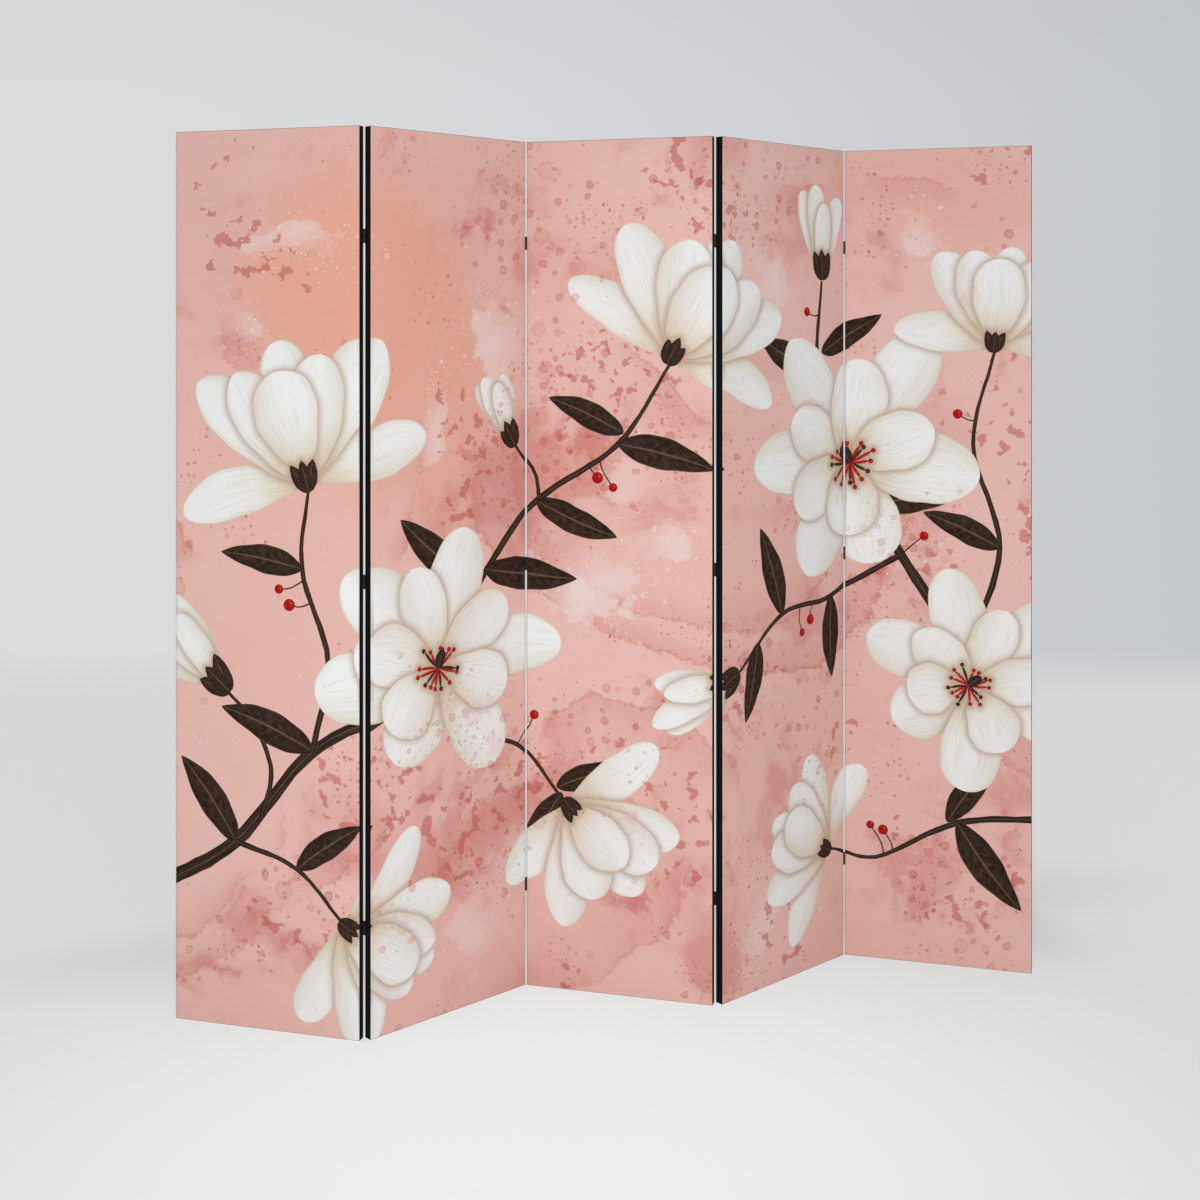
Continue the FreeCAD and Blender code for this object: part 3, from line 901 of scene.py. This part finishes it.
def edgeTape(number, finish):
    width, deep, height = panel["width"], panel["depth"], panel["height"]
    selectOnly()
    bpy.ops.mesh.primitive_cube_add(size=1, location=(width / 2, deep / 2, height / 2))
    piece = bpy.context.object
    piece.name = piece.data.name = f"panel{number}EdgeTape"
    piece.scale = (width, deep - 2 * tape["setBack"], height)
    bpy.ops.object.transform_apply()
    bpy.ops.object.mode_set(mode="EDIT")
    # first the front and the back go, which are open, and then the four corners are rounded
    selectWhere(piece, "FACE", lambda face: abs(face.normal.y) > 0.5)
    bpy.ops.mesh.delete(type="FACE")
    selectWhere(piece, "EDGE", lambda edge: abs(edge.verts[0].co.y - edge.verts[1].co.y) > deep / 2)
    bpy.ops.mesh.bevel(offset=tape["cornerRadius"], segments=tape["cornerSteps"], affect="EDGES")
    bpy.ops.object.mode_set(mode="OBJECT")
    solid = piece.modifiers.new("Thickness", "SOLIDIFY")
    solid.thickness, solid.offset = tape["thickness"], -1
    soft = piece.modifiers.new("Softness", "BEVEL")
    soft.width, soft.segments = tape["softness"], tape["softSteps"]
    soft.limit_method, soft.angle_limit = "ANGLE", tape["softAngle"]
    for name in ("Thickness", "Softness"):
        bpy.ops.object.modifier_apply(modifier=name)
    tapeMap(piece)
    piece.data.materials.append(finish)
    piece.matrix_world = panelPlace(number)
    bpy.ops.object.transform_apply()
    bpy.ops.object.shade_smooth_by_angle(angle=smoothAngle)
    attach(piece, f"panel_{number}")
    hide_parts(f"panel_{number}_edge_tape")
    cut = (deep - 2 * tape["setBack"], 2 * (width + height))


blackTape = blackTapeFinish()
for number in panelNumbers:
    edgeTape(number, blackTape)
print("edges taped")


# Finishes for the frames, the hinges and their screws, whose shapes stay as they are

pine = dict(
    pale=srgb(222, 190, 142), ring=srgb(199, 156, 104), pore=srgb(164, 120, 76),
    upright=(60, 60, 2.2), level=(2.2, 60, 60),    # the grain's scale along x, y and z
)
lacquer = dict(black=srgb(21, 21, 23), rubbed=srgb(52, 50, 49))
steel = dict(    # dark and light tones, and the scale of its lines
    pins=(srgb(58, 58, 61), srgb(92, 92, 96), (200, 200, 2600)),
    screws=(srgb(48, 48, 53), srgb(84, 84, 92), (900, 900, 900)),
)


def pineFinish(name, turn, grain):
    f = Finish(name)
    drawn = f.stretch(f.stretch(f.objectPlace(), (1, 1, 1), turn), grain)
    bands = f.math("PINGPONG", f.noise(drawn, 1.0, 4, 0.55, flat=False) * 9.0, 1.0)
    pores = f.noise(f.stretch(drawn, (9, 9, 9)), 1.0, 3, 0.6, flat=False)
    colour = f.mix(f.step(bands, 0.0, 1.0), pine["pale"], pine["ring"])
    colour = f.mix(f.step(pores, 0.55, 0.75) * 0.5, colour, pine["pore"])
    bump = f.bump(0.4, 0.0002, pores + bands * 0.3)
    return f.surface({"Base Color": colour, "Roughness": 0.62 + 0.14 * bands, "Normal": bump})


def lacquerFinish():
    f = Finish("satinBlackLacquer")
    place = f.objectPlace()
    peel = f.noise(place, 1400, 2, 0.5, flat=False)
    rubbed = f.step(f.noise(place, 260, 5, 0.7, flat=False), 0.66, 0.74)
    colour = f.mix(rubbed * 0.6, lacquer["black"], lacquer["rubbed"])
    bump = f.bump(0.25, 0.00005, peel)
    return f.surface({"Base Color": colour, "Roughness": 0.36 + 0.12 * peel + 0.1 * rubbed, "Normal": bump})


def steelFinish(name, dark, light, scale):
    f = Finish(name)
    place = f.objectPlace()
    lines = f.noise(f.stretch(place, scale), 1.0, 3, 0.6, flat=False)
    cloud = f.noise(place, 350, 3, 0.6, flat=False)
    return f.surface({
        "Base Color": f.mix(f.step(lines + cloud * 0.5, 0.5, 0.95), dark, light),
        "Roughness": 0.3 + 0.25 * lines, "Metallic": 0.85 + 0.1 * cloud,
        "Normal": f.bump(0.3, 0.00004, lines),
    })


finishes = dict(
    stile=pineFinish("pineUpright", 0.0, pine["upright"]),
    leaves=lacquerFinish(),
    pins=steelFinish("blackenedSteel", *steel["pins"]),
    screws=steelFinish("blackZinc", *steel["screws"]),
)
railFinishes = [    # for the panels with an even number, then for those with an odd one
    pineFinish("pineLevelEven", -panel["turn"], pine["level"]),
    pineFinish("pineLevelOdd", panel["turn"], pine["level"]),
]
for name, node in frame["nodes"].items():
    kind = next((k for k in ("stile", "rail", "leaves", "pins", "screws") if k in name), None)
    finish = railFinishes[int(name.split("_")[1]) % 2] if kind == "rail" else finishes.get(kind)
    for held in node.material_slots if finish else ():
        held.material = finish
print("frames and hinges finished")


# The camera, the floor and the light

view = dict(
    eye=(-0.7891, -3.0383, 1.2323), heading=math.atan2(0.2402, 0.9707),
    focalPixels=1675, framePixels=1200, horizonPixel=335.8, sensor=36,
)
camera = bpy.data.objects.new("camera", bpy.data.cameras.new("camera"))
bpy.context.scene.collection.objects.link(camera)
camera.location = view["eye"]
camera.rotation_euler = (math.pi / 2, 0, -view["heading"])
camera.data.sensor_width = view["sensor"]
camera.data.lens = view["focalPixels"] / view["framePixels"] * view["sensor"]
camera.data.shift_y = -(view["framePixels"] / 2 - view["horizonPixel"]) / view["framePixels"]
bpy.context.scene.camera = camera

stage = dict(
    size=14.0, litTone=srgb(243, 243, 243), seenTone=srgb(222, 222, 222), seenShare=0.75,
    fadeDeep=(3.5, 2.5), fadeAcross=(4.6, 3.2),    # gone at the first distance, whole at the second
)
floorPaintedLight = [    # painted shadows and a painted pool of light on the floor: middle, reach, where it is whole, tone and how it is laid
    # a painted shadow on the floor behind the screen
    ((0.07, 0.36), (1.4, 0.36), 0.4, srgb(201, 201, 201), "MIX"),
    # a painted pool of light on the floor in front of the screen
    ((-0.26, -0.49), (1.39, 1.29), 0.12, srgb(244, 244, 244), "MIX"),
    # a painted tint that takes out the pink light thrown onto the floor by the panels
    ((0.16, 0.0), (1.76, 0.715), 0.4, (0.97, 1.0, 1.0, 1), "MULTIPLY"),
    # a painted shadow beside the right foot of panel 5
    ((0.885, 0.10), (0.16, 0.24), 0.2, (0.88, 0.88, 0.88, 1), "MULTIPLY"),
]
wall = dict(
    left=srgb(218, 219, 221), right=srgb(196, 199, 203), span=(-0.3, 0.34), curve=1.7,
    top=srgb(250, 250, 250), topSpan=(0.12, 0.21), light=0.555,
)
keyLight = dict(place=(-0.72, -2.4, 1.0), aim=(0, 0, 0.85), size=1.5, power=27)


def studioFloor():
    selectOnly()
    bpy.ops.mesh.primitive_grid_add(x_subdivisions=8, y_subdivisions=8, size=stage["size"])
    floor = bpy.context.object
    floor.name = "studioFloor"
    f = Finish("studioFloor")
    place = f.objectPlace()
    tone = stage["seenTone"]
    # the painted shadows and the painted pool of light are laid into the tone that the camera sees
    for middle, reach, whole, laid, way in floorPaintedLight:
        tone = f.mix(f.step(f.away(place, middle, reach), 1.0, whole), tone, laid, way)
    # the camera sees the floor mostly as this glow, which carries the painted shade and light, and only a
    # quarter as the lit board
    glow = f.node("ShaderNodeEmission", None, {"Color": tone})
    board = f.node("ShaderNodeBsdfDiffuse", None, {"Color": stage["litTone"]})
    pale = f.blend(f.seen() * stage["seenShare"], board, glow)
    across, deep = f.axes(f.stretch(place, (1, 1, 1), view["heading"]), "XY")
    shown = f.step(abs(deep), *stage["fadeDeep"]) * f.step(abs(across), *stage["fadeAcross"])
    floor.data.materials.append(f.show(f.blend(shown, f.node("ShaderNodeBsdfTransparent"), pale)))


def studioWorld():
    world = bpy.data.worlds.new("studio")
    bpy.context.scene.world = world
    f = Finish("studio", world)
    way = f.node("ShaderNodeTexCoord", None, None, "Generated")
    right = (math.cos(view["heading"]), -math.sin(view["heading"]), 0)
    across = f.vector("DOT_PRODUCT", way, right, result="Value")
    share = f.node("ShaderNodeMapRange", None, {0: across, 1: wall["span"][0], 2: wall["span"][1]})
    # painted shade on the backdrop: it darkens from the left towards the right, and a little towards the top
    tone = f.mix(share ** wall["curve"], wall["left"], wall["right"])
    tone = f.mix(f.step(f.axes(way, "Z")[0], *wall["topSpan"]), tone, wall["top"], "MULTIPLY")
    light = f.node("ShaderNodeBackground", None, {"Color": (1, 1, 1, 1), "Strength": wall["light"]})
    backdrop = f.node("ShaderNodeBackground", None, {"Color": tone, "Strength": 1.0})
    f.show(f.blend(f.seen(), light, backdrop))


def studioLamp():
    lamp = bpy.data.objects.new("keyLight", bpy.data.lights.new("keyLight", "AREA"))
    bpy.context.scene.collection.objects.link(lamp)
    lamp.data.shape, lamp.data.size, lamp.data.energy = "DISK", keyLight["size"], keyLight["power"]
    lamp.location = keyLight["place"]
    lamp.rotation_euler = (lamp.location - Vector(keyLight["aim"])).to_track_quat("Z", "Y").to_euler()
    lamp.visible_camera = False    # it stands in front of the screen


studioFloor()
studioWorld()
studioLamp()
bpy.context.scene.view_settings.view_transform = "Standard"
print("studio set")
